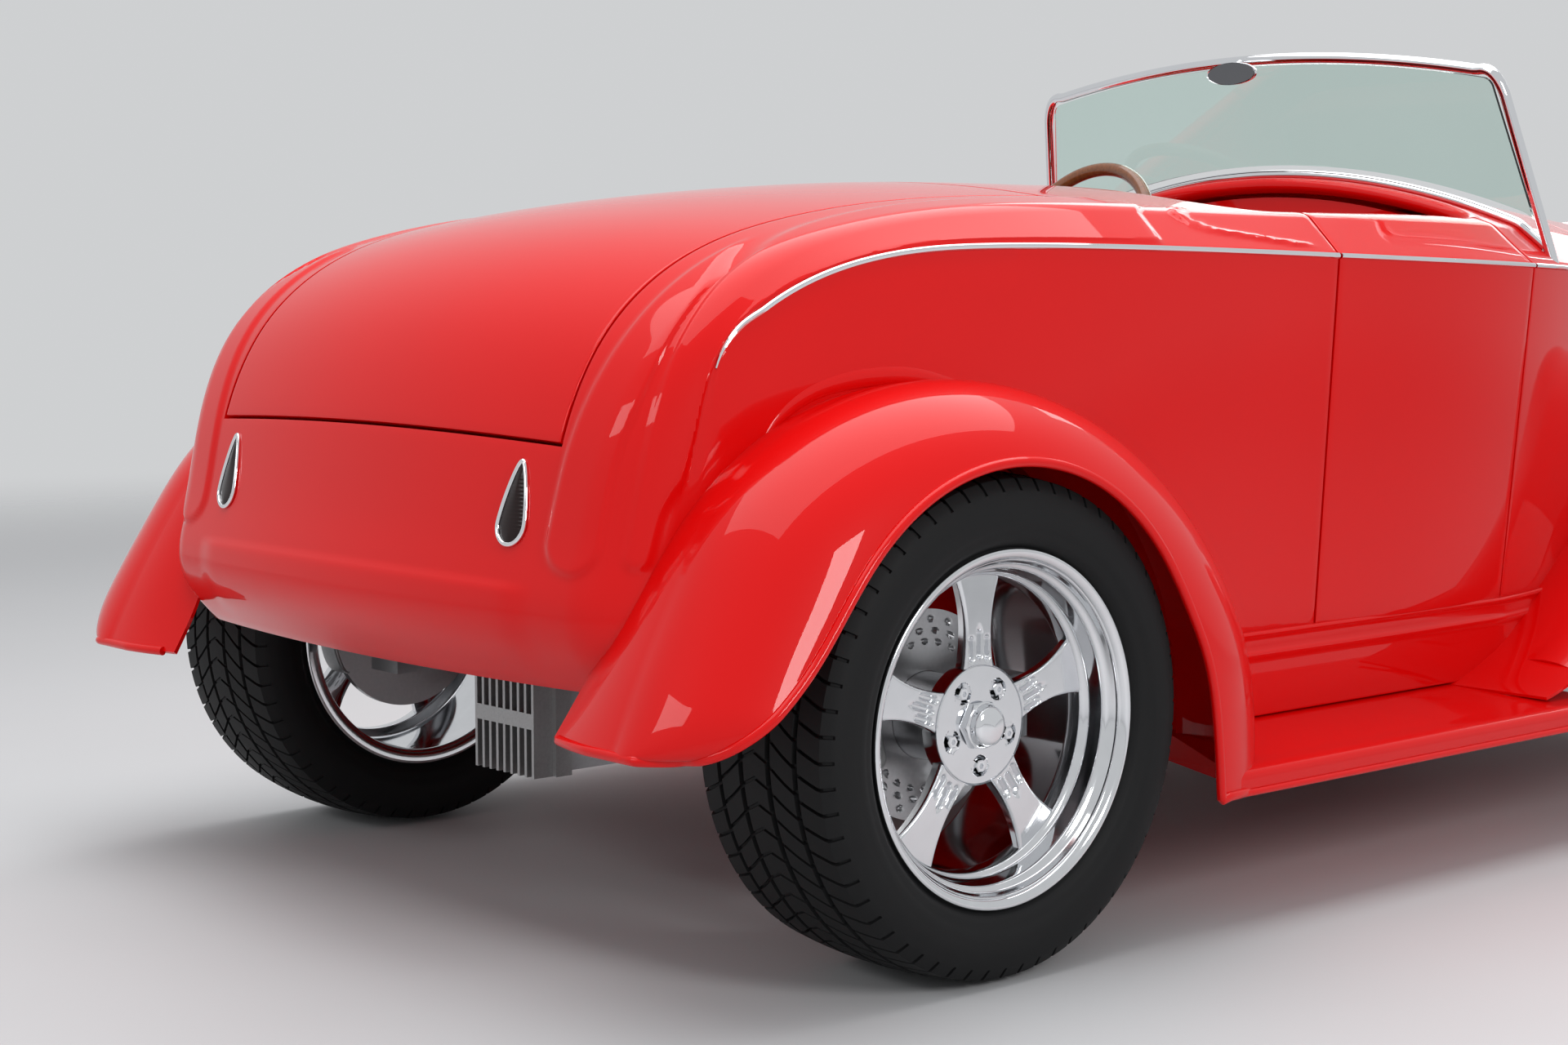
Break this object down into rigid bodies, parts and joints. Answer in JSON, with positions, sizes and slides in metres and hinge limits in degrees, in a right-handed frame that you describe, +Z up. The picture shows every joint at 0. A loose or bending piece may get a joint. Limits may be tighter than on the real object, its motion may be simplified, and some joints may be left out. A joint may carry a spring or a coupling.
{
  "type": "street rod roadster",
  "caption": "Full-fendered open street rod roadster with hinged doors, boot lid and hood top, raked windshield, steered front axle, spinning polished wheels and running boards.",
  "frame": {"origin": "on the floor below the centre of the car's overall length and width", "axes": "+X towards the front of the car, +Y to its left, +Z up"},
  "size_m": [3.7344, 1.7458, 1.3928],
  "materials": {
    "body_paint": "deep red clear-coated gloss",
    "frame_paint": "red gloss",
    "chrome": "mirror polished",
    "polished_rim": "mirror polished five-spoke",
    "cast_aluminium": "satin cast",
    "dark_steel": "satin black",
    "spring_black": "gloss black",
    "tyre_rubber": "matt black",
    "screen_glass": "slightly green tint",
    "lamp_lens": "dark red lens",
    "seat_leather": "dark red",
    "wheel_wood": "varnished brown",
    "floor_trim": "dark red carpet"
  },
  "bodies": {
    "chassis": {"belt_strips": "chrome", "chassis_frame": "frame_paint", "cowl": "body_paint", "dashboard": "seat_leather", "engine_block": "dark_steel", "exhaust": "cast_aluminium", "fender_front_left": "body_paint", "fender_front_right": "body_paint", "fender_rear_left": "body_paint", "fender_rear_right": "body_paint", "floor_pan": "floor_trim", "front_axle": "dark_steel", "gearbox_driveshaft": "dark_steel", "grille_bars": "chrome", "grille_shell": "chrome", "headlamps": "chrome", "hood_sides": "body_paint", "quickchange_cover": "cast_aluminium", "radiator": "cast_aluminium", "rear_axle": "dark_steel", "rear_quarters": "body_paint", "rear_suspension": "spring_black", "running_board_left": "body_paint", "running_board_right": "body_paint", "seat": "seat_leather", "steering_column": "dark_steel", "tail_lamps": "lamp_lens", "windshield_frame": "chrome", "windshield_glass": "screen_glass"},
    "wheel_rear_left": {"rim_rear_left": "polished_rim", "tyre_rear_left": "tyre_rubber"},
    "wheel_rear_right": {"rim_rear_right": "polished_rim", "tyre_rear_right": "tyre_rubber"},
    "wheel_front_left": {"rim_front_left": "polished_rim", "tyre_front_left": "tyre_rubber"},
    "wheel_front_right": {"rim_front_right": "polished_rim", "tyre_front_right": "tyre_rubber"},
    "knuckle_left": {"knuckle_left": "dark_steel"},
    "knuckle_right": {"knuckle_right": "dark_steel"},
    "tie_rod": {"tie_rod": "dark_steel"},
    "steering_wheel": {"steering_wheel": "wheel_wood"},
    "door_left": {"door_left": "body_paint"},
    "door_right": {"door_right": "body_paint"},
    "deck_lid": {"deck_lid": "body_paint"},
    "hood_top": {"hood_top": "body_paint"}
  },
  "joints": [
    {"name": "wheel_rear_left_spin", "type": "hinge", "parent": "chassis", "child": "wheel_rear_left", "pos_m": [-1.301, 0.713, 0.352], "axis": [0, 1, 0], "continuous": true},
    {"name": "wheel_rear_right_spin", "type": "hinge", "parent": "chassis", "child": "wheel_rear_right", "pos_m": [-1.301, -0.713, 0.352], "axis": [0, 1, 0], "continuous": true},
    {"name": "wheel_front_left_spin", "type": "hinge", "parent": "knuckle_left", "child": "wheel_front_left", "pos_m": [1.391, 0.722, 0.312], "axis": [0, 1, 0], "continuous": true},
    {"name": "wheel_front_right_spin", "type": "hinge", "parent": "knuckle_right", "child": "wheel_front_right", "pos_m": [1.391, -0.722, 0.312], "axis": [0, 1, 0], "continuous": true},
    {"name": "steer_left", "type": "hinge", "parent": "chassis", "child": "knuckle_left", "pos_m": [1.391, 0.625, 0.312], "axis": [0, 0, 1], "range_deg": [-30, 30]},
    {"name": "steer_right", "type": "hinge", "parent": "chassis", "child": "knuckle_right", "pos_m": [1.391, -0.625, 0.312], "axis": [0, 0, 1], "range_deg": [-30, 30]},
    {"name": "tie_rod_shift", "type": "slide", "parent": "chassis", "child": "tie_rod", "axis": [0, 1, 0], "range_m": [-0.07, 0.07]},
    {"name": "steering_wheel_turn", "type": "hinge", "parent": "chassis", "child": "steering_wheel", "pos_m": [0.095, 0.34, 1.03], "axis": [-0.8829, 0, 0.4695], "range_deg": [-450, 450]},
    {"name": "door_left_hinge", "type": "hinge", "parent": "chassis", "child": "door_left", "pos_m": [0.202, 0.66, 0.985], "axis": [0, -0.088, -0.9961], "range_deg": [0, 65]},
    {"name": "door_right_hinge", "type": "hinge", "parent": "chassis", "child": "door_right", "pos_m": [0.202, -0.66, 0.985], "axis": [0, -0.088, 0.9961], "range_deg": [0, 65]},
    {"name": "deck_lid_hinge", "type": "hinge", "parent": "chassis", "child": "deck_lid", "pos_m": [-0.848, 0, 1.126], "axis": [0, 1, 0], "range_deg": [0, 55]},
    {"name": "hood_top_hinge", "type": "hinge", "parent": "chassis", "child": "hood_top", "pos_m": [0.652, 0, 1.132], "axis": [0, -1, 0], "range_deg": [0, 50]}
  ],
  "couplings": [
    {"joint": "steer_right", "follows": "steer_left", "ratio": 1},
    {"joint": "tie_rod_shift", "follows": "steer_left", "m_per_rad": -0.13},
    {"joint": "steering_wheel_turn", "follows": "steer_left", "ratio": 15}
  ]
}
